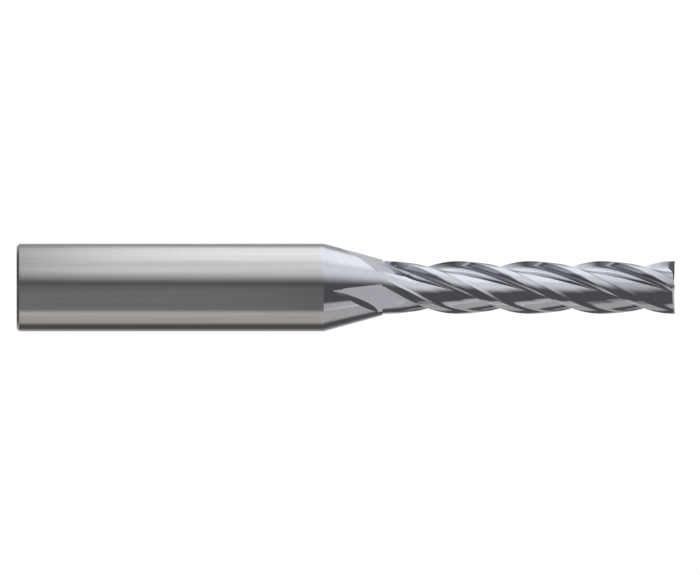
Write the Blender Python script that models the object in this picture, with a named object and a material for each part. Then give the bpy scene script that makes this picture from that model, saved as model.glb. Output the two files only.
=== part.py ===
"""Solid carbide square end mill: plain shank, conical neck and four right-hand helical flutes.

The tool lies on its shank along X, with the shank's end face at -X, the cutting end at +X and the lowest
facet of the shank on z = 0. Lengths are in metres. A "station" is a distance from the shank's end face, and
an angle is measured about +X, from +Y towards +Z, which is also the way the tool turns when it cuts.
"""

import math

import bmesh
import bpy
import numpy as np
from mathutils import Vector

# Main sizes of the tool.
OVERALL_LENGTH = 0.0750
SHANK_DIAMETER = 0.0100
SHANK_LENGTH = 0.0350
SHANK_CHAMFER = 0.0003
NECK_LENGTH = 0.0067
NECK_SMALL_DIAMETER = 0.00635
CUTTING_DIAMETER = 0.0060
END_TEETH_LENGTH = 0.0016

# The helix, and where the leading edges lie at the cutting end.
FLUTES = 4
HELIX_LEAD = 0.0328
EDGE_ANGLE_AT_TIP = math.radians(1.2)

# Cross-section of one tooth and its flute, as shares of the cutting radius and angles behind the edge. The land
# has two relief facets, and its relief grows from almost nothing at the neck to its full drop.
PRIMARY_ANGLE = math.radians(5.5)
PRIMARY_DROP = 0.009
LAND_ANGLE = math.radians(18.2)
LAND_DROP = 0.05
RELIEF_AT_START = 0.1
RELIEF_FADE = 0.0030
CORE_SHARE = 0.60
BACK_SHARE = 0.80
HEEL_FADE = 0.04
GULLET_START = math.radians(70.0)
RAKE_FOOT_ANGLE = math.radians(88.5)
RAKE_FOOT_SHARE = 0.82
RAKE_ANGLE = math.radians(8.0)
RAKE_FADE_START = math.radians(52.0)

# Run-out: the wheel lifts on an arc and leaves a flat ramp, walled on its heel side, that climbs out of the core
# into the neck. The fillet under the rake face grows over the last part of the ramp.
RAMP_FOOT_STATION = 0.04463
RAMP_FOOT_ROUNDING = 0.0008
RAMP_SLOPE = math.tan(math.radians(16.55))
RAMP_AHEAD_OF_EDGE = math.radians(-1.8)
RAMP_HALF_REACH = math.radians(80.0)
FILLET_START_STATION = 0.0415
FILLET_END_STATION = 0.0455
LIFT_START_STATION = 0.0465
LIFT_RADIUS = 0.0096
WALL_TIP_STATION = 0.03593
WALL_TIP_AHEAD = math.radians(71.3)
WALL_WAIST_STATION = 0.0392
WALL_WAIST_AHEAD = math.radians(64.6)
WALL_END_STATION = 0.0419
WALL_END_AHEAD = math.radians(70.0)
WALL_STEEPNESS = 0.0026

# The end teeth: dish towards the centre, relief behind each end edge, and a gash in front of it that fades
# out towards the centre. The rake also fades out over the length of the end teeth.
DISH_SLOPE = math.tan(math.radians(2.0))
END_RELIEF_SLOPE = math.tan(math.radians(8.0))
GASH_DEPTH = 0.0008
GASH_BACK_SLOPE = 0.8
GASH_BOTTOM_SLOPE = 0.5
GASH_INNER_RADIUS = 0.00025

# Fineness of the solids.
SHANK_SIDES = 64
NECK_ROW_SPACING = 0.00028
BODY_ROW_SPACING = 0.00098
NECK_SECTION_ANGLES = [*range(0, 88, 3), 88.5]
SECTION_ANGLES = [0, 5.5, 12, 18.2, 20, 23, 30, 38, 46, 54, 62, 70, 76, 81, 85, 87.5, 88.5]
END_ROWS = 3
END_RING_SHARES = [0.88, 0.76, 0.64, 0.5, 0.36, 0.22, 0.1]

SHANK_RADIUS = SHANK_DIAMETER / 2
CUTTING_RADIUS = CUTTING_DIAMETER / 2
FLUTE_PITCH = 2 * math.pi / FLUTES
NECK_END = SHANK_LENGTH + NECK_LENGTH
TEETH_START = OVERALL_LENGTH - END_TEETH_LENGTH
AXIS_HEIGHT = SHANK_RADIUS * math.cos(math.pi / SHANK_SIDES)


def clear_scene():
    for thing in list(bpy.data.objects):
        bpy.data.objects.remove(thing, do_unlink=True)


def metal(name, colour, roughness):
    """A plain metal of one colour."""
    made = bpy.data.materials.new(name)
    made.use_nodes = True
    shader = made.node_tree.nodes["Principled BSDF"]
    shader.inputs["Base Color"].default_value = (*colour, 1.0)
    shader.inputs["Metallic"].default_value = 1.0
    shader.inputs["Roughness"].default_value = roughness
    return made


def place(station, radius, angle):
    """World position of a point given by its station, its distance from the axis and its angle."""
    return Vector(
        (
            station - OVERALL_LENGTH / 2,
            radius * math.cos(angle),
            AXIS_HEIGHT + radius * math.sin(angle),
        )
    )


def edge_angle(station):
    """Angle of the first cutting edge's helix at a station."""
    return EDGE_ANGLE_AT_TIP + 2 * math.pi * (station - OVERALL_LENGTH) / HELIX_LEAD


def section_share(behind):
    """Radius of the ground tooth and flute, as a share of the cutting radius, at an angle behind the edge."""
    if behind <= PRIMARY_ANGLE:
        return 1 - PRIMARY_DROP * behind / PRIMARY_ANGLE
    if behind <= LAND_ANGLE:
        along = (behind - PRIMARY_ANGLE) / (LAND_ANGLE - PRIMARY_ANGLE)
        return 1 - PRIMARY_DROP - (LAND_DROP - PRIMARY_DROP) * along
    if behind <= GULLET_START:
        along = (behind - LAND_ANGLE) / (GULLET_START - LAND_ANGLE)
        height = BACK_SHARE * (1 - along) + (1 - BACK_SHARE) * math.exp(-along / HEEL_FADE)
        return CORE_SHARE + (1 - LAND_DROP - CORE_SHARE) * height
    across = min((behind - GULLET_START) / (RAKE_FOOT_ANGLE - GULLET_START), 1.0)
    return CORE_SHARE + (RAKE_FOOT_SHARE - CORE_SHARE) * (1 - math.sqrt(1 - across**2))


def within(value):
    return min(max(value, 0.0), 1.0)


def on_back(behind):
    """Whether an angle behind the edge lies between the heel and the gullet."""
    return LAND_ANGLE < behind <= GULLET_START


def back_height(behind):
    """Height of the tooth's back above the core, as a share of the heel's height."""
    return (section_share(behind) - CORE_SHARE) / (1 - LAND_DROP - CORE_SHARE)


def section_radius(station, behind):
    """Radius of the ground tooth and flute, with the relief grown as far as it has at a station."""
    relieved = RELIEF_AT_START + (1 - RELIEF_AT_START) * within((station - NECK_END) / RELIEF_FADE)
    share = section_share(behind)
    if behind <= LAND_ANGLE:
        share = 1 - (1 - share) * relieved
    elif on_back(behind):
        share = CORE_SHARE + (1 - LAND_DROP * relieved - CORE_SHARE) * back_height(behind)
    return CUTTING_RADIUS * share


def blank_radius(station):
    """Radius of the turned blank in the neck. It starts inside the flat sides of the shank."""
    along = (station - SHANK_LENGTH) / NECK_LENGTH
    return AXIS_HEIGHT + (NECK_SMALL_DIAMETER / 2 - AXIS_HEIGHT) * along


def wheel_lift(station, behind, in_neck):
    """How far the wheel has lifted out of the flute. Past the neck it still touches the heel."""
    lift = max(LIFT_START_STATION - station, 0.0) ** 2 / (2 * LIFT_RADIUS)
    if on_back(behind) and not in_neck:
        lift *= 1 - back_height(behind)
    return lift


def wall_angle(station):
    """Angle ahead of the edge at which the ramp's wall meets the blank."""
    past_waist = station - WALL_WAIST_STATION
    if past_waist < 0:
        end_station, end_ahead = WALL_TIP_STATION, WALL_TIP_AHEAD
    else:
        end_station, end_ahead = WALL_END_STATION, WALL_END_AHEAD
    along = past_waist / (end_station - WALL_WAIST_STATION)
    return WALL_WAIST_AHEAD + (end_ahead - WALL_WAIST_AHEAD) * along**2


def ramp_depth(station):
    """Distance of the ramp from the axis, measured square to it, with a rounded foot."""
    climb = max(RAMP_FOOT_STATION + RAMP_FOOT_ROUNDING - station, 0.0)
    rounded = min(climb, 2 * RAMP_FOOT_ROUNDING)
    rise = rounded**2 / (4 * RAMP_FOOT_ROUNDING) + climb - rounded
    return CUTTING_RADIUS * CORE_SHARE + rise * RAMP_SLOPE


def ramp_radius(station, ahead, outside):
    """Radius that the run-out ramp leaves at an angle ahead of the edge, or None where it cuts nothing."""
    turn = edge_angle(RAMP_FOOT_STATION) - edge_angle(station)
    from_normal = ahead - RAMP_AHEAD_OF_EDGE - turn
    if station > FILLET_END_STATION or abs(from_normal) > RAMP_HALF_REACH:
        return None
    wall_ahead = wall_angle(station)
    if ahead < 0 or ahead > wall_ahead:
        return None
    flat = ramp_depth(station) / math.cos(from_normal)
    return max(flat, outside - (wall_ahead - ahead) * WALL_STEEPNESS)


def tool_radius(station, behind, outside):
    """Radius of the finished tool at a station and an angle behind the edge, inside a given outer radius."""
    on_land = behind <= LAND_ANGLE
    in_neck = outside > CUTTING_RADIUS
    ground = outside if in_neck and on_land else section_radius(station, behind)
    lifted = ground if on_land else ground + wheel_lift(station, behind, in_neck)
    radius = min(outside, lifted)
    for tooth in range(-1, 2):
        ramp = ramp_radius(station, (FLUTE_PITCH - behind) + tooth * FLUTE_PITCH, outside)
        if ramp is not None:
            radius = min(radius, ramp)
    fillet = within((station - FILLET_START_STATION) / (FILLET_END_STATION - FILLET_START_STATION))
    return radius + max(min(outside, ground) - radius, 0.0) * fillet


def rake_shift(station, radius, behind):
    """How far a flute point near the rake face is turned into the tooth behind it, for a positive rake."""
    share = min(radius / CUTTING_RADIUS, 1.0)
    reach = (behind - RAKE_FADE_START) / (GULLET_START - RAKE_FADE_START)
    to_tip = (OVERALL_LENGTH - station) / END_TEETH_LENGTH
    return math.tan(RAKE_ANGLE) * (1 - share) / share * within(reach) * within(to_tip)


def surface_point(station, tooth, behind, outside):
    radius = tool_radius(station, behind, outside)
    turned = behind + rake_shift(station, radius, behind)
    return place(station, radius, edge_angle(station) + tooth * FLUTE_PITCH - turned)


def columns(angles=SECTION_ANGLES):
    """The tooth and the angle behind its edge of each point of an outline, in order of increasing angle."""
    return [(tooth, math.radians(angle)) for tooth in range(FLUTES) for angle in reversed(angles)]


def section(station, outside, angles=SECTION_ANGLES):
    """Closed outline of the tool at a station, as world points."""
    return [surface_point(station, tooth, behind, outside) for tooth, behind in columns(angles)]


def end_drop(radius, behind):
    """How far the end face lies behind the tip, at a radius and an angle behind the end edge."""
    relief = (CUTTING_RADIUS - radius) * DISH_SLOPE + radius * math.sin(behind) * END_RELIEF_SLOPE
    along, in_front = radius * math.sin(behind), radius * math.cos(behind)
    bottom = min((along - GASH_INNER_RADIUS) * GASH_BOTTOM_SLOPE, GASH_DEPTH)
    return max(relief, bottom - in_front / GASH_BACK_SLOPE)


def end_outline(share):
    """Outline on the end face, at a share of the way out from the axis to the flanks."""
    points = []
    for tooth, behind in columns():
        radius = CUTTING_RADIUS * section_share(behind) * share
        station = OVERALL_LENGTH - end_drop(radius, behind)
        points.append(place(station, radius, edge_angle(station) + tooth * FLUTE_PITCH - behind))
    return points


def flank_outline(along):
    """Outline on the flanks of the end teeth, a share of the way from their start to the end face."""
    points = []
    for tooth, behind in columns():
        length = END_TEETH_LENGTH - end_drop(CUTTING_RADIUS * section_share(behind), behind)
        station = TEETH_START + length * along
        points.append(surface_point(station, tooth, behind, CUTTING_RADIUS))
    return points


def add_object(name, mesh, material):
    made = bpy.data.objects.new(name, mesh)
    bpy.context.scene.collection.objects.link(made)
    mesh.materials.append(material)
    mesh.shade_smooth()
    mesh.set_sharp_from_angle(angle=math.radians(25))
    return made


def loft(name, outlines, end_point=None):
    """A closed mesh through outlines of the same number of points, with flat caps or an end point."""
    shape = bmesh.new()
    rings = [[shape.verts.new(point) for point in outline] for outline in outlines]
    count = len(rings[0])
    for low, high in zip(rings, rings[1:]):
        for i in range(count):
            j = (i + 1) % count
            shape.faces.new((low[i], low[j], high[j], high[i]))
    shape.faces.new(list(reversed(rings[0])))
    if end_point is None:
        shape.faces.new(rings[-1])
    else:
        centre = shape.verts.new(end_point)
        for i in range(count):
            shape.faces.new((rings[-1][i], rings[-1][(i + 1) % count], centre))
    bmesh.ops.recalc_face_normals(shape, faces=shape.faces)
    bmesh.ops.triangulate(shape, faces=shape.faces)
    mesh = bpy.data.meshes.new(name)
    shape.to_mesh(mesh)
    shape.free()
    return mesh


def ring(station, radius, sides):
    """A circle about the axis, with a flat side at the bottom."""
    half_side = math.pi / sides
    return [place(station, radius, -math.pi / 2 + (2 * i + 1) * half_side) for i in range(sides)]


def stations(start, end, spacing):
    return np.linspace(start, end, max(round((end - start) / spacing), 1) + 1).tolist()


def make_shank(material):
    outlines = [
        ring(0.0, SHANK_RADIUS - SHANK_CHAMFER, SHANK_SIDES),
        ring(SHANK_CHAMFER, SHANK_RADIUS, SHANK_SIDES),
        ring(SHANK_LENGTH, SHANK_RADIUS, SHANK_SIDES),
    ]
    return add_object("shank", loft("shank", outlines), material)


def make_neck(material):
    rows = stations(SHANK_LENGTH, NECK_END, NECK_ROW_SPACING)
    outlines = [section(row, blank_radius(row), NECK_SECTION_ANGLES) for row in rows]
    return add_object("neck_cone", loft("neck_cone", outlines), material)


def make_body(material):
    rows = stations(NECK_END, FILLET_END_STATION, NECK_ROW_SPACING)
    rows += stations(FILLET_END_STATION, TEETH_START, BODY_ROW_SPACING)[1:]
    outlines = [section(row, CUTTING_RADIUS) for row in rows]
    return add_object("fluted_body", loft("fluted_body", outlines), material)


def make_end_teeth(material):
    outlines = [flank_outline(row / END_ROWS) for row in range(END_ROWS + 1)]
    outlines += [end_outline(share) for share in END_RING_SHARES]
    centre = place(OVERALL_LENGTH - end_drop(0.0, 0.0), 0.0, 0.0)
    return add_object("end_teeth", loft("end_teeth", outlines, centre), material)


def main():
    clear_scene()
    ground = metal("ground_carbide", (0.56, 0.56, 0.54), 0.28)
    coated = metal("coated_carbide", (0.33, 0.33, 0.38), 0.24)
    make_shank(ground)
    make_neck(coated)
    make_body(coated)
    make_end_teeth(coated)


main()
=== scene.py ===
"""Looks of a solid carbide square end mill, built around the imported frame.

Four pieces stand for the frame's four nodes: the ground shank, the coated neck cone with its flute run-outs,
the coated fluted body and the coated end teeth. Their surfaces are heightfields about the tool's axis. Rows
lie at "stations", distances from the shank's end face, and columns follow the helix at angles "behind" each
cutting edge. Lengths are in metres, and angles are measured about +X, from +Y towards +Z.
"""

import math

import bmesh
import bpy
import numpy as np
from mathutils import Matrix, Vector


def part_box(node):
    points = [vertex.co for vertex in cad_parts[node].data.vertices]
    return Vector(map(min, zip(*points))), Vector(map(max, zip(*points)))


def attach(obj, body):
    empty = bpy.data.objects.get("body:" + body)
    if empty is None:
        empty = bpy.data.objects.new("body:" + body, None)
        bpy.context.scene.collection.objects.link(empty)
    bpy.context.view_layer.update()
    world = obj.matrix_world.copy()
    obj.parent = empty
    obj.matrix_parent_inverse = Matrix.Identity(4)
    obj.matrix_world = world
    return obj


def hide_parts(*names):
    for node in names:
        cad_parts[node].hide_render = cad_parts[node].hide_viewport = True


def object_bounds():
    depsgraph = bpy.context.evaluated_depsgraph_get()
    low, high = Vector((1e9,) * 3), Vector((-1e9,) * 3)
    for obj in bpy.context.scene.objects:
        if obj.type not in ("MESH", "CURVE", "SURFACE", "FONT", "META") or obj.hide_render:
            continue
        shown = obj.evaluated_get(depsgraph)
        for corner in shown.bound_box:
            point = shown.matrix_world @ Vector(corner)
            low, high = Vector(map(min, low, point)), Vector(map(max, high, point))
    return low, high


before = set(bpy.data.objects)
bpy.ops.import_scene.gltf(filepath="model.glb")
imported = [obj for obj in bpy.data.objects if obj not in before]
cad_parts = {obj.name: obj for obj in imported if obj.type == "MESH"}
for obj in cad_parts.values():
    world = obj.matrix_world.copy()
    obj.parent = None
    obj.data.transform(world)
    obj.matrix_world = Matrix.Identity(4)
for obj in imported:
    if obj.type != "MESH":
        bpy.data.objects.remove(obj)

CAD_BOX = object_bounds()
SHANK_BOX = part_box("shank")
NECK_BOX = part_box("neck_cone")
TEETH_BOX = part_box("end_teeth")

# Sizes that come from the frame.
START_X = SHANK_BOX[0].x
AXIS_HEIGHT = (SHANK_BOX[0].z + SHANK_BOX[1].z) / 2
SHANK_RADIUS = (SHANK_BOX[1].z - SHANK_BOX[0].z) / 2
SHANK_LENGTH = SHANK_BOX[1].x - START_X
NECK_END = NECK_BOX[1].x - START_X
TEETH_START = TEETH_BOX[0].x - START_X
OVERALL_LENGTH = CAD_BOX[1].x - START_X

# Sizes that repeat the frame's design.
NECK_LENGTH = NECK_END - SHANK_LENGTH
TEETH_LENGTH = OVERALL_LENGTH - TEETH_START
NECK_SMALL_RADIUS = 0.003175
CUTTING_RADIUS = 0.0030
SHANK_CHAMFER = 0.0003
FLUTES = 4
FLUTE_PITCH = 2 * math.pi / FLUTES
HELIX_LEAD = 0.0328
EDGE_ANGLE_AT_TIP = math.radians(1.2)

# Cross-section of one tooth and its flute: radii as shares of the cutting radius, angles behind the edge.
PRIMARY_ANGLE = math.radians(5.5)
PRIMARY_DROP = 0.009
LAND_ANGLE = math.radians(18.2)
LAND_DROP = 0.05
RELIEF_AT_START = 0.1
RELIEF_FADE = 0.0030
CORE_SHARE = 0.60
BACK_SHARE = 0.80
HEEL_FADE = 0.04
GULLET_START = math.radians(70.0)
RAKE_FOOT_ANGLE = math.radians(88.5)
RAKE_FOOT_SHARE = 0.82
RAKE_ANGLE = math.radians(8.0)
RAKE_FADE_START = math.radians(52.0)

# Run-out: a flat ramp, walled on its heel side, that climbs out of the core into the neck.
RAMP_FOOT_STATION = 0.04463
RAMP_FOOT_ROUNDING = 0.0008
FILLET_START_STATION = 0.0415
FILLET_END_STATION = 0.0455
RAMP_SLOPE = math.tan(math.radians(16.55))
RAMP_AHEAD_OF_EDGE = math.radians(-1.8)
RAMP_HALF_REACH = math.radians(80.0)
LIFT_START_STATION = 0.0465
LIFT_RADIUS = 0.0096
WALL_TIP_STATION = 0.03593
WALL_TIP_AHEAD = math.radians(71.3)
WALL_WAIST_STATION = 0.0392
WALL_WAIST_AHEAD = math.radians(64.6)
WALL_END_STATION = 0.0419
WALL_END_AHEAD = math.radians(70.0)
WALL_STEEPNESS = 0.0026

# End teeth.
DISH_SLOPE = math.tan(math.radians(2.0))
END_RELIEF_SLOPE = math.tan(math.radians(8.0))
GASH_DEPTH = 0.0008
GASH_BACK_SLOPE = 0.8
GASH_BOTTOM_SLOPE = 0.5
GASH_INNER_RADIUS = 0.00025

# Fineness of the meshes.
# Columns of one tooth: the angle behind the edge at which a spacing starts, and its number of steps.
COLUMN_SPANS = [
    (0.0, 4),
    (PRIMARY_ANGLE, 7),
    (LAND_ANGLE, 7),
    (math.radians(22), 6),
    (math.radians(30), 20),
    (math.radians(66), 10),
    (math.radians(80), 12),
    (RAKE_FOOT_ANGLE, 6),
]
SHANK_SIDES = 384
NECK_ROW = 0.00004
RAMP_ROW = 0.00005
BODY_ROW = 0.00013
TEETH_ROWS = 24
END_RINGS = 40
SHARP_ANGLE = math.radians(24)
SNAP_STEPS = 24

# Surfaces that a point of the tool may lie on.
BLANK, LAND, FLUTE, RAMP, WALL = range(5)
RELIEF, GASH_BACK, GASH_BOTTOM = range(3)


def edge_angle(station):
    """Angle of the first cutting edge's helix at a station."""
    return EDGE_ANGLE_AT_TIP + 2 * math.pi * (station - OVERALL_LENGTH) / HELIX_LEAD


def section_share(behind):
    """Radius of the ground tooth and flute as a share of the cutting radius."""
    heel = 1 - LAND_DROP
    primary = 1 - PRIMARY_DROP * behind / PRIMARY_ANGLE
    secondary = (1 - PRIMARY_DROP) - (LAND_DROP - PRIMARY_DROP) * (behind - PRIMARY_ANGLE) / (
        LAND_ANGLE - PRIMARY_ANGLE
    )
    along = np.clip((behind - LAND_ANGLE) / (GULLET_START - LAND_ANGLE), 0, 1)
    height = BACK_SHARE * (1 - along) + (1 - BACK_SHARE) * np.exp(-along / HEEL_FADE)
    back = CORE_SHARE + (heel - CORE_SHARE) * height
    across = np.clip((behind - GULLET_START) / (RAKE_FOOT_ANGLE - GULLET_START), 0, 1)
    gullet = CORE_SHARE + (RAKE_FOOT_SHARE - CORE_SHARE) * (1 - np.sqrt(1 - across**2))
    rake = RAKE_FOOT_SHARE + (1 - RAKE_FOOT_SHARE) * (behind - RAKE_FOOT_ANGLE) / (
        FLUTE_PITCH - RAKE_FOOT_ANGLE
    )
    return np.select(
        [
            behind <= PRIMARY_ANGLE,
            behind <= LAND_ANGLE,
            behind <= GULLET_START,
            behind <= RAKE_FOOT_ANGLE,
        ],
        [primary, secondary, back, gullet],
        rake,
    )


def blank_radius(station):
    """Radius of the turned blank: the cone in the neck, and the cutting radius past it."""
    cone = SHANK_RADIUS + (NECK_SMALL_RADIUS - SHANK_RADIUS) * (station - SHANK_LENGTH) / NECK_LENGTH
    return np.where(station <= NECK_END, cone, CUTTING_RADIUS)


def tool_radius(station, behind, in_neck):
    """Radius of the finished tool and the surface it lies on, at stations and angles behind the edge."""
    station, behind = np.broadcast_arrays(station, behind)
    outside = blank_radius(station) if in_neck else np.full(station.shape, CUTTING_RADIUS)
    on_land = behind <= LAND_ANGLE
    relieved = RELIEF_AT_START + (1 - RELIEF_AT_START) * np.clip((station - NECK_END) / RELIEF_FADE, 0, 1)
    share = section_share(behind)
    height = (share - CORE_SHARE) / (1 - LAND_DROP - CORE_SHARE)
    on_back = ~on_land & (behind <= GULLET_START)
    land = 1 - (1 - share) * relieved
    back = CORE_SHARE + (1 - LAND_DROP * relieved - CORE_SHARE) * height
    section = CUTTING_RADIUS * np.select([on_land, on_back], [land, back], share)
    helical = np.where(on_land, outside, section) if in_neck else section
    lift = np.maximum(LIFT_START_STATION - station, 0) ** 2 / (2 * LIFT_RADIUS)
    if not in_neck:
        lift = lift * np.where(on_back, 1 - height, 1)
    raised = helical + lift
    lifted = np.minimum(outside, np.where(on_land, helical, raised))
    label = np.where(on_land, LAND, np.where(raised < outside, FLUTE, BLANK))
    if in_neck:
        label = np.where(on_land, BLANK, label)
    turn = edge_angle(RAMP_FOOT_STATION) - edge_angle(station)
    climb = RAMP_FOOT_STATION + RAMP_FOOT_ROUNDING - station
    rounded = np.clip(climb, 0, 2 * RAMP_FOOT_ROUNDING)
    rise = rounded**2 / (4 * RAMP_FOOT_ROUNDING) + np.maximum(climb - 2 * RAMP_FOOT_ROUNDING, 0)
    depth = CUTTING_RADIUS * CORE_SHARE + rise * RAMP_SLOPE
    past_waist = station - WALL_WAIST_STATION
    end_station = np.where(past_waist < 0, WALL_TIP_STATION, WALL_END_STATION)
    end_ahead = np.where(past_waist < 0, WALL_TIP_AHEAD, WALL_END_AHEAD)
    along = past_waist / (end_station - WALL_WAIST_STATION)
    wall_ahead = WALL_WAIST_AHEAD + (end_ahead - WALL_WAIST_AHEAD) * along**2
    ground = lifted
    for tooth in range(-1, 2):
        ahead = (FLUTE_PITCH - behind) + tooth * FLUTE_PITCH
        from_normal = ahead - RAMP_AHEAD_OF_EDGE - turn
        cuts = (station <= FILLET_END_STATION) & (ahead >= 0) & (ahead <= wall_ahead)
        cuts &= np.abs(from_normal) <= RAMP_HALF_REACH
        flat = depth / np.cos(np.where(cuts, from_normal, 0))
        wall = outside - (wall_ahead - ahead) * WALL_STEEPNESS
        ramp = np.where(cuts, np.maximum(flat, wall), np.inf)
        label = np.where(ramp < ground, np.where(flat >= wall, RAMP, WALL), label)
        ground = np.minimum(ground, ramp)
    fillet = (station - FILLET_START_STATION) / (FILLET_END_STATION - FILLET_START_STATION)
    missing = np.maximum(np.minimum(outside, helical) - ground, 0)
    return ground + missing * np.clip(fillet, 0, 1), label


def rake_shift(station, radius, behind):
    """How far a point near the rake face is turned into the tooth behind it, for a positive rake."""
    share = np.minimum(radius / CUTTING_RADIUS, 1)
    reach = np.clip((behind - RAKE_FADE_START) / (GULLET_START - RAKE_FADE_START), 0, 1)
    to_tip = np.clip((OVERALL_LENGTH - station) / TEETH_LENGTH, 0, 1)
    return math.tan(RAKE_ANGLE) * (1 - share) / share * reach * to_tip


def end_drop(radius, behind):
    """How far the end face lies behind the tip, and the surface it lies on."""
    turned = np.minimum(behind, FLUTE_PITCH)
    relief = (CUTTING_RADIUS - radius) * DISH_SLOPE + radius * np.sin(turned) * END_RELIEF_SLOPE
    along, in_front = radius * np.sin(turned), radius * np.cos(turned)
    sloped = (along - GASH_INNER_RADIUS) * GASH_BOTTOM_SLOPE
    gash = np.minimum(sloped, GASH_DEPTH) - in_front / GASH_BACK_SLOPE
    label = np.where(relief >= gash, RELIEF, np.where(sloped < GASH_DEPTH, GASH_BOTTOM, GASH_BACK))
    return np.maximum(relief, gash), label


def place(station, radius, angle):
    """World positions, in the last axis, from stations, distances from the axis and angles."""
    station, radius, angle = np.broadcast_arrays(station, radius, angle)
    return np.stack(
        [START_X + station, radius * np.cos(angle), AXIS_HEIGHT + radius * np.sin(angle)], axis=-1
    )


def tooth_columns():
    """Angles of one tooth's columns, up to the next tooth's edge."""
    starts = [start for start, _ in COLUMN_SPANS]
    ends = [*starts[1:], FLUTE_PITCH]
    spans = [
        np.linspace(start, end, count, endpoint=False) for (start, count), end in zip(COLUMN_SPANS, ends)
    ]
    return np.concatenate(spans)


COLUMNS = tooth_columns()
CORNERS = (0.0, PRIMARY_ANGLE, LAND_ANGLE, RAKE_FOOT_ANGLE)
FIXED = [index for index, angle in enumerate(COLUMNS) if angle in CORNERS]


def snapped_columns(rows, label_of):
    """Column angles of each row, moved onto the borders between surfaces, and which ones were moved."""
    angles = np.tile(np.append(COLUMNS, FLUTE_PITCH), (len(rows), 1))
    snapped = np.zeros(angles.shape, bool)
    stations = np.asarray(rows)[:, None]
    labels = label_of(stations, angles)
    differs = labels[:, :-1] != labels[:, 1:]
    low, high, first = angles[:, :-1].copy(), angles[:, 1:].copy(), labels[:, :-1]
    for _ in range(SNAP_STEPS):
        middle = (low + high) / 2
        same = label_of(stations, middle) == first
        low, high = np.where(same, middle, low), np.where(same, high, middle)
    border = (low + high) / 2
    last = angles.shape[1] - 1
    fixed = set(FIXED) | {last}
    base = angles.copy()
    for i, j in zip(*np.nonzero(differs)):
        share = (border[i, j] - base[i, j]) / (base[i, j + 1] - base[i, j])
        choices = (j, j + 1) if share < 0.5 else (j + 1, j)
        for k in choices:
            if k not in fixed and not snapped[i, k]:
                angles[i, k] = border[i, j]
                snapped[i, k] = True
                break
    return angles[:, :-1], snapped[:, :-1]


def whole_turn(angles, snapped):
    """The four teeth's columns side by side, in order of increasing angle about the axis."""
    behind = np.concatenate([angles[:, ::-1]] * FLUTES, axis=1)
    moved = np.concatenate([snapped[:, ::-1]] * FLUTES, axis=1)
    tooth = np.repeat(np.arange(FLUTES), angles.shape[1])[None, :]
    return behind, moved, tooth


def body_points(rows, in_neck):
    """Points and helix coordinates of rows at fixed stations."""
    stations = np.asarray(rows)[:, None]
    angles, snapped = snapped_columns(rows, lambda s, b: tool_radius(s, b, in_neck)[1])
    behind, moved, tooth = whole_turn(angles, snapped)
    radius, _ = tool_radius(stations, behind, in_neck)
    turned = behind + rake_shift(stations, radius, behind)
    points = place(stations, radius, edge_angle(stations) + tooth * FLUTE_PITCH - turned)
    return points, moved, helix_coordinates(stations, behind, radius)


def helix_coordinates(station, behind, radius):
    """For grinding marks: distance across the helix, distance along it and depth."""
    station, behind, radius = np.broadcast_arrays(station, behind, radius)
    return np.stack([behind * CUTTING_RADIUS, station, radius], axis=-1)


def teeth_points():
    """Points of the end teeth: their flanks, then rings on the end face."""
    angles = COLUMNS[None, :]
    behind, moved, tooth = whole_turn(angles, np.zeros(angles.shape, bool))
    rows, marks, flows = [], [], []
    rim = CUTTING_RADIUS * section_share(behind)
    length = TEETH_LENGTH - end_drop(rim, behind)[0]
    for step in range(TEETH_ROWS + 1):
        station = TEETH_START + length * step / TEETH_ROWS
        radius, _ = tool_radius(station, behind, False)
        turned = behind + rake_shift(station, radius, behind)
        rows.append(place(station, radius, edge_angle(station) + tooth * FLUTE_PITCH - turned))
        marks.append(moved)
        flows.append(helix_coordinates(station, behind, radius))
    shares = np.linspace(1, 0, END_RINGS + 1)[1:-1]

    def ring_label(share, angle):
        return end_drop(CUTTING_RADIUS * section_share(angle) * share, angle)[1]

    angles, snapped = snapped_columns(shares, ring_label)
    behind, moved, tooth = whole_turn(angles, snapped)
    radius = CUTTING_RADIUS * section_share(behind) * shares[:, None]
    station = OVERALL_LENGTH - end_drop(radius, behind)[0]
    rows.extend(place(station, radius, edge_angle(station) + tooth * FLUTE_PITCH - behind)[:, None])
    marks.extend(moved[:, None])
    flows.extend(helix_coordinates(station, behind, radius)[:, None])
    return np.concatenate(rows), np.concatenate(marks), np.concatenate(flows)


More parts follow.
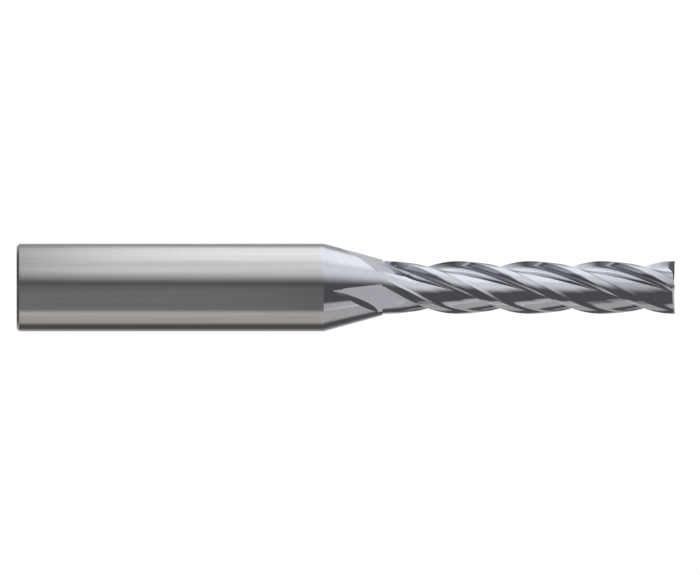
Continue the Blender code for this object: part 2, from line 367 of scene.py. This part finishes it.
def grid_mesh(name, points, moved, flows, centre=None):
    """A closed mesh through rows of points, split along moved columns, with flat caps or a middle point."""
    count_rows, count = points.shape[:2]
    index = np.arange(count_rows * count).reshape(count_rows, count)
    a, b = index[:-1], np.roll(index[:-1], -1, axis=1)
    d, c = index[1:], np.roll(index[1:], -1, axis=1)
    mark_a, mark_b = moved[:-1], np.roll(moved[:-1], -1, axis=1)
    mark_d, mark_c = moved[1:], np.roll(moved[1:], -1, axis=1)
    flat = points.reshape(-1, 3)
    short = np.linalg.norm(flat[a] - flat[c], axis=-1) <= np.linalg.norm(flat[b] - flat[d], axis=-1)
    along_ac, along_bd = mark_a & mark_c, mark_b & mark_d
    use_ac = np.where(along_ac == along_bd, short, along_ac)
    first = np.where(use_ac[..., None], np.stack([a, b, c], -1), np.stack([a, b, d], -1))
    second = np.where(use_ac[..., None], np.stack([a, c, d], -1), np.stack([b, c, d], -1))
    faces = np.concatenate([first.reshape(-1, 3), second.reshape(-1, 3)]).tolist()
    faces.append(index[0, ::-1].tolist())
    vertices = flat.tolist()
    coordinates = flows.reshape(-1, 3)
    if centre is None:
        faces.append(index[-1].tolist())
    else:
        vertices.append(list(centre))
        coordinates = np.vstack([coordinates, coordinates[-1]])
        middle = len(vertices) - 1
        faces += [(index[-1, i], index[-1, (i + 1) % count], middle) for i in range(count)]
    mesh = bpy.data.meshes.new(name)
    mesh.from_pydata(vertices, [], faces)
    shape = bmesh.new()
    shape.from_mesh(mesh)
    bmesh.ops.recalc_face_normals(shape, faces=shape.faces)
    bmesh.ops.triangulate(shape, faces=[face for face in shape.faces if len(face.verts) > 4])
    shape.to_mesh(mesh)
    shape.free()
    layer = mesh.attributes.new("flow", "FLOAT_VECTOR", "POINT")
    layer.data.foreach_set("vector", coordinates.astype(np.float32).ravel())
    return mesh


def steps(start, end, spacing):
    """Evenly spaced stations from start to end, about a spacing apart."""
    return np.linspace(start, end, max(round((end - start) / spacing), 1) + 1)


def add_piece(name, mesh, material, node):
    """A visible piece that stands for one node of the frame."""
    made = bpy.data.objects.new(name, mesh)
    bpy.context.scene.collection.objects.link(made)
    mesh.materials.append(material)
    mesh.shade_smooth()
    mesh.set_sharp_from_angle(angle=SHARP_ANGLE)
    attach(made, "root")
    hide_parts(node)
    return made


# --- Materials -------------------------------------------------------------------------------------------


class Tree:
    """Short ways to add and link nodes of one node tree."""

    def __init__(self, tree):
        self.tree = tree
        self.nodes = tree.nodes

    def add(self, kind, inputs=None, **settings):
        node = self.nodes.new("ShaderNode" + kind)
        for key, value in settings.items():
            setattr(node, key, value)
        for key, value in (inputs or {}).items():
            self.put(node.inputs[key], value)
        return node

    def put(self, socket, value):
        if isinstance(value, bpy.types.NodeSocket):
            self.tree.links.new(value, socket)
        else:
            socket.default_value = value

    def math(self, operation, first, second=0.0):
        return self.add("Math", {0: first, 1: second}, operation=operation).outputs[0]

    def remap(self, value, low, high, to_low=0.0, to_high=1.0, smooth=False):
        node = self.add(
            "MapRange",
            {"Value": value, "From Min": low, "From Max": high, "To Min": to_low, "To Max": to_high},
        )
        node.interpolation_type = "SMOOTHSTEP" if smooth else "LINEAR"
        return node.outputs["Result"]

    def mix(self, factor, first, second, blend="MIX"):
        node = self.add("Mix", data_type="RGBA", blend_type=blend)
        self.put(node.inputs["Factor"], factor)
        self.put(node.inputs["A"], first)
        self.put(node.inputs["B"], second)
        return node.outputs["Result"]

    def noise(self, vector, scale, detail):
        """Noise that is stretched to a scale of its own along each axis."""
        stretched = self.add("VectorMath", {0: vector, 1: scale}, operation="MULTIPLY").outputs["Vector"]
        return self.add("TexNoise", {"Vector": stretched, "Scale": 1.0, "Detail": detail}).outputs["Fac"]

    def varied(self, noise, low, high):
        """A noise's usual range, taken to a range of values."""
        return self.remap(noise, *NOISE_RANGE, low, high)

    def grey(self, level):
        return self.add("CombineXYZ", {0: level, 1: level, 2: level}).outputs[0]


def principled(name):
    made = bpy.data.materials.new(name)
    made.use_nodes = True
    tree = Tree(made.node_tree)
    return made, tree, tree.nodes["Principled BSDF"]


NOISE_RANGE = (0.3, 0.7)
COATING = (0.645, 0.655, 0.715, 1)
CARBIDE = (0.63, 0.628, 0.618, 1)

# Grain of the surfaces: cycles in a metre along X, Y and Z, or across, along and into the flutes.
ROUND_MARKS = (9000, 500, 500)
SPECKLE = (5000, 5000, 5000)
STREAKS = (40, 1800, 1800)
BORDER_WAVER = (0, 700, 700)
WHEEL_MARKS = (9000, 250, 9000)
CLOUD = (420, 420, 420)

# How much the grain changes the colour's strength and the roughness.
FINE_TONE = 0.02
STREAK_TONE = 0.055
WHEEL_TONE = 0.04
CLOUD_TONE = 0.03
BARE_ROUGHNESS = 0.16
RIM_ROUGHNESS = 0.12
COATING_ROUGHNESS = (0.07, 0.10)

# Where the coating begins and is full on the shank, as distances from the shank's front rim.
COATING_START = 0.00052
COATING_FULL = 0.00012
COATING_WAVER = 0.00012


def ground_carbide():
    """Bare carbide, centreless ground, with fine marks round it and a coated front rim with a soft border."""
    made, tree, shader = principled("ground_carbide")
    position = tree.add("TexCoord").outputs["Object"]
    marks = tree.noise(position, ROUND_MARKS, 4)
    speckle = tree.noise(position, SPECKLE, 2)
    streaks = tree.noise(position, STREAKS, 3)
    fine = [tree.varied(noise, -FINE_TONE, FINE_TONE) for noise in (marks, speckle)]
    tone = tree.math("ADD", tree.math("ADD", *fine), tree.varied(streaks, -STREAK_TONE, STREAK_TONE))
    tone = tree.math("ADD", tone, 1.0)
    bare = tree.mix(1.0, CARBIDE, tree.grey(tone), "MULTIPLY")
    along = tree.add("SeparateXYZ", {0: position}).outputs["X"]
    waver = tree.varied(tree.noise(position, BORDER_WAVER, 2), -COATING_WAVER, COATING_WAVER)
    border = tree.math("ADD", along, waver)
    rim_x = START_X + SHANK_LENGTH
    coated = tree.remap(border, rim_x - COATING_START, rim_x - COATING_FULL, smooth=True)
    tree.put(shader.inputs["Base Color"], tree.mix(coated, bare, COATING))
    tree.put(shader.inputs["Roughness"], tree.remap(coated, 0, 1, BARE_ROUGHNESS, RIM_ROUGHNESS))
    shader.inputs["Metallic"].default_value = 1.0
    shader.inputs["Anisotropic"].default_value = 0.9
    shader.inputs["Anisotropic Rotation"].default_value = 0.25
    tangent = tree.add("Tangent", direction_type="RADIAL", axis="X").outputs[0]
    tree.put(shader.inputs["Tangent"], tangent)
    bump = tree.add("Bump", {"Strength": 0.25, "Distance": 0.000002, "Height": marks})
    tree.put(shader.inputs["Normal"], bump.outputs[0])
    return made


def coated_carbide():
    """Hard grey-lavender coating over ground flutes, with fine wheel marks along the helix."""
    made, tree, shader = principled("coated_carbide")
    flow = tree.add("Attribute", attribute_name="flow", attribute_type="GEOMETRY").outputs["Vector"]
    position = tree.add("TexCoord").outputs["Object"]
    marks = tree.noise(flow, WHEEL_MARKS, 3)
    cloud = tree.noise(position, CLOUD, 3)
    along_helix = tree.varied(marks, 1 - WHEEL_TONE, 1 + WHEEL_TONE)
    tone = tree.math("ADD", along_helix, tree.varied(cloud, -CLOUD_TONE, CLOUD_TONE))
    tree.put(shader.inputs["Base Color"], tree.mix(1.0, COATING, tree.grey(tone), "MULTIPLY"))
    tree.put(shader.inputs["Roughness"], tree.varied(cloud, *COATING_ROUGHNESS))
    shader.inputs["Metallic"].default_value = 1.0
    bump = tree.add("Bump", {"Strength": 0.2, "Distance": 0.0000015, "Height": marks})
    tree.put(shader.inputs["Normal"], bump.outputs[0])
    return made


# --- Studio ----------------------------------------------------------------------------------------------

TENT_RADIUS = 0.05
TENT_HALF_LENGTH = 0.20
TENT_SIDES = 96

# Soft panels of the light tent: the middle and half the width round the tool's axis, in degrees from the
# camera's side (0) up to straight above (90), the middle and half the length along it, and the colour.
PANELS = {
    "overhead_softbox": (80, 50, 0.005, 0.045, (0.80, 0.80, 0.80)),
    "softbox_core": (100, 24, 0.010, 0.035, (0.30, 0.30, 0.30)),
    "back_wall": (180, 34, 0.0, TENT_HALF_LENGTH, (0.35, 0.35, 0.35)),
    "floor_bounce": (-85, 20, 0.0, 0.10, (0.42, 0.39, 0.37)),
    "shank_card": (-35, 35, -0.04, 0.040, (0.12, 0.12, 0.12)),
    "neck_card": (-55, 10, 0.030, 0.012, (0.45, 0.45, 0.45)),
}
AMBIENT_LIGHT = (0.10, 0.10, 0.10)

# How far a panel fades to either side of its border, as a share of half its width or length.
PANEL_SIDE_SOFTNESS = 0.45
PANEL_END_SOFTNESS = 0.4

FLOOR_RADIUS = 0.35
FLOOR_SIDES = 128
FLOOR_FADE = (0.050, 0.105)
FLOOR_COLOUR = (0.90, 0.90, 0.90, 1)
BACKDROP_STRENGTH = 1.02

VIEW_WIDTH = 0.07975
VIEW_MIDDLE_X = 0.00049
CAMERA_DISTANCE = 0.30


def make_tent():
    """A closed light tent round the tool that only reflections see."""
    shape = bmesh.new()
    bmesh.ops.create_cone(
        shape,
        cap_ends=True,
        segments=TENT_SIDES,
        radius1=TENT_RADIUS,
        radius2=TENT_RADIUS,
        depth=2 * TENT_HALF_LENGTH,
    )
    mesh = bpy.data.meshes.new("light_tent")
    shape.to_mesh(mesh)
    shape.free()
    tent = bpy.data.objects.new("light_tent", mesh)
    bpy.context.scene.collection.objects.link(tent)
    tent.rotation_euler = (0, math.pi / 2, 0)
    tent.location = (0, 0, AXIS_HEIGHT)
    made = bpy.data.materials.new("tent_light")
    made.use_nodes = True
    tree = Tree(made.node_tree)
    tree.nodes.clear()
    position = tree.add("NewGeometry").outputs["Position"]
    parts = tree.add("SeparateXYZ", {0: position})
    up = tree.math("SUBTRACT", parts.outputs["Z"], AXIS_HEIGHT)
    front = tree.math("MULTIPLY", parts.outputs["Y"], -1.0)
    angle = tree.math("ARCTAN2", up, front)
    lit = (*AMBIENT_LIGHT, 1)
    for middle, half_width, middle_x, half_length, colour in PANELS.values():
        facing = tree.math("COSINE", tree.math("SUBTRACT", angle, math.radians(middle)))
        outer = math.cos(math.radians(half_width * (1 + PANEL_SIDE_SOFTNESS)))
        inner = math.cos(math.radians(half_width * (1 - PANEL_SIDE_SOFTNESS)))
        across = tree.remap(facing, outer, inner, smooth=True)
        away = tree.math("ABSOLUTE", tree.math("SUBTRACT", parts.outputs["X"], middle_x))
        ends = half_length * (1 + PANEL_END_SOFTNESS), half_length * (1 - PANEL_END_SOFTNESS)
        along = tree.remap(away, *ends, smooth=True)
        lit = tree.mix(tree.math("MULTIPLY", across, along), lit, (*colour, 1), "ADD")
    emission = tree.add("Emission", {"Color": lit})
    output = tree.add("OutputMaterial")
    tree.tree.links.new(emission.outputs[0], output.inputs["Surface"])
    mesh.materials.append(made)
    for visibility in ("camera", "diffuse", "transmission", "volume_scatter", "shadow"):
        setattr(tent, "visible_" + visibility, False)


def make_floor():
    """A plain pale floor that fades into the white backdrop away from the tool."""
    shape = bmesh.new()
    bmesh.ops.create_circle(shape, cap_ends=True, segments=FLOOR_SIDES, radius=FLOOR_RADIUS)
    mesh = bpy.data.meshes.new("floor")
    shape.to_mesh(mesh)
    shape.free()
    floor = bpy.data.objects.new("floor", mesh)
    bpy.context.scene.collection.objects.link(floor)
    floor.location = (0, 0, CAD_BOX[0].z)
    made = bpy.data.materials.new("pale_floor")
    made.use_nodes = True
    tree = Tree(made.node_tree)
    tree.nodes.clear()
    position = tree.add("NewGeometry").outputs["Position"]
    distance = tree.add("VectorMath", {0: position}, operation="LENGTH").outputs["Value"]
    clear = tree.remap(distance, *FLOOR_FADE, smooth=True)
    pale = tree.add("BsdfDiffuse", {"Color": FLOOR_COLOUR})
    gone = tree.add("BsdfTransparent")
    mixed = tree.add("MixShader", {0: clear, 1: pale.outputs[0], 2: gone.outputs[0]})
    output = tree.add("OutputMaterial")
    tree.tree.links.new(mixed.outputs[0], output.inputs["Surface"])
    mesh.materials.append(made)
    floor.visible_glossy = False


def make_world():
    world = bpy.data.worlds.new("white_backdrop")
    bpy.context.scene.world = world
    world.use_nodes = True
    background = world.node_tree.nodes["Background"]
    background.inputs["Color"].default_value = (1, 1, 1, 1)
    background.inputs["Strength"].default_value = BACKDROP_STRENGTH


def make_camera():
    """Straight-on side view, with no perspective."""
    data = bpy.data.cameras.new("camera")
    data.type = "ORTHO"
    data.ortho_scale = VIEW_WIDTH
    camera = bpy.data.objects.new("camera", data)
    bpy.context.scene.collection.objects.link(camera)
    camera.location = (VIEW_MIDDLE_X, -CAMERA_DISTANCE, AXIS_HEIGHT)
    camera.rotation_euler = (math.pi / 2, 0, 0)
    data.clip_start, data.clip_end = 0.01, 3.0
    bpy.context.scene.camera = camera


def shank_mesh():
    """The shank: a chamfered rear end and a plain round section."""
    edge = SHANK_CHAMFER
    profile = [(0.0, SHANK_RADIUS - edge), (edge, SHANK_RADIUS), (SHANK_LENGTH, SHANK_RADIUS)]
    angle = np.linspace(0, 2 * math.pi, SHANK_SIDES, endpoint=False)
    stations = np.array([station for station, _ in profile])[:, None]
    radius = np.array([radius for _, radius in profile])[:, None]
    points = place(stations, radius, angle[None, :])
    moved = np.zeros(points.shape[:2], bool)
    return grid_mesh("shank_ground", points, moved, np.zeros(points.shape))


def build_tool():
    ground, coated = ground_carbide(), coated_carbide()
    add_piece("shank_ground", shank_mesh(), ground, "shank")
    rows = steps(SHANK_LENGTH, NECK_END, NECK_ROW)
    mesh = grid_mesh("neck_cone_coated", *body_points(rows, True))
    add_piece("neck_cone_coated", mesh, coated, "neck_cone")
    ramp_rows = steps(NECK_END, FILLET_END_STATION, RAMP_ROW)
    rows = [*ramp_rows, *steps(FILLET_END_STATION, TEETH_START, BODY_ROW)[1:]]
    mesh = grid_mesh("fluted_body_coated", *body_points(rows, False))
    add_piece("fluted_body_coated", mesh, coated, "fluted_body")
    centre = place(OVERALL_LENGTH - CUTTING_RADIUS * DISH_SLOPE, 0.0, 0.0)
    mesh = grid_mesh("end_teeth_coated", *teeth_points(), centre=centre.tolist())
    add_piece("end_teeth_coated", mesh, coated, "end_teeth")


build_tool()
make_tent()
make_floor()
make_world()
make_camera()
bpy.context.scene.view_settings.view_transform = "Standard"
